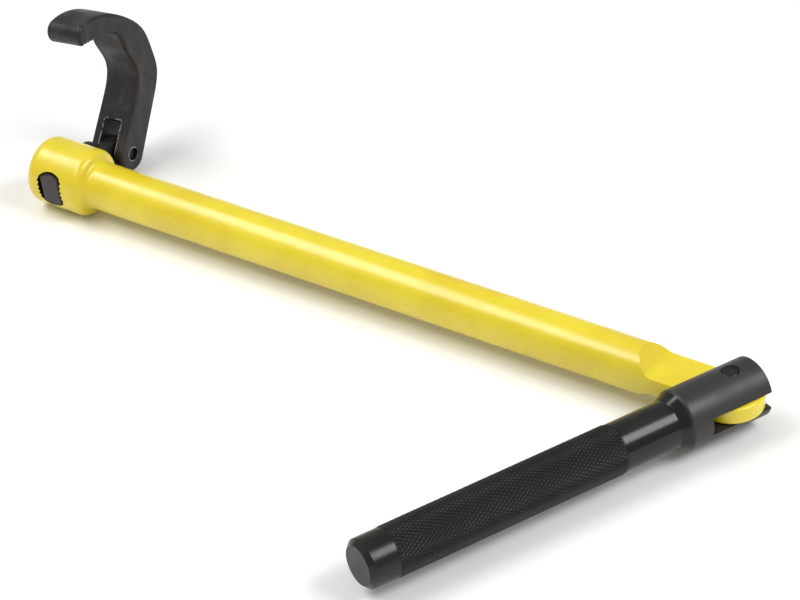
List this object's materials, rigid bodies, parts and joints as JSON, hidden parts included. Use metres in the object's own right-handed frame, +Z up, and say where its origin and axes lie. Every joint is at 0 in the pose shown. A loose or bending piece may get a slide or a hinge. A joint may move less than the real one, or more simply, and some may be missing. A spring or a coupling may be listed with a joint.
{
  "type": "hydrant wrench",
  "caption": "Hook wrench with a pivoting toothed jaw across the end of a round arm and a knurled handle that folds on a hinge.",
  "frame": {"origin": "centre of the flat end face of the arm's head, on the arm's axis", "axes": "+X along the arm from the head to the handle hinge; +Z up, parallel to the handle's hinge pin; the jaw pivots on the +Y side of the head and the folded handle lies on the -Y side"},
  "size_m": [0.4222, 0.2608, 0.0961],
  "materials": {
    "yellow_enamel": "gloss enamel over a forged surface",
    "black_forging": "satin black oxide over a forged surface",
    "black_turned": "semi-gloss black oxide on turned steel",
    "dark_pin": "oiled black steel",
    "spring_steel": "tempered spring steel"
  },
  "bodies": {
    "arm_body": {"arm": "yellow_enamel", "jaw_carrier": "dark_pin", "carrier_lock_screw": "dark_pin"},
    "jaw_body": {"hook_jaw": "black_forging", "jaw_pivot_pin": "dark_pin", "spring_washer_left": "spring_steel", "spring_washer_right": "spring_steel"},
    "handle_body": {"handle": "black_turned", "handle_hinge_pin": "dark_pin"}
  },
  "joints": [
    {"name": "jaw_swing", "type": "hinge", "parent": "arm_body", "child": "jaw_body", "pos_m": [0.01766, 0.0375, -0.00536], "axis": [0.9925, 0, 0.1219], "range_deg": [-170, 60]},
    {"name": "handle_fold", "type": "hinge", "parent": "arm_body", "child": "handle_body", "pos_m": [0.401, 0, 0], "axis": [0, 0, 1], "range_deg": [0, 226]}
  ]
}
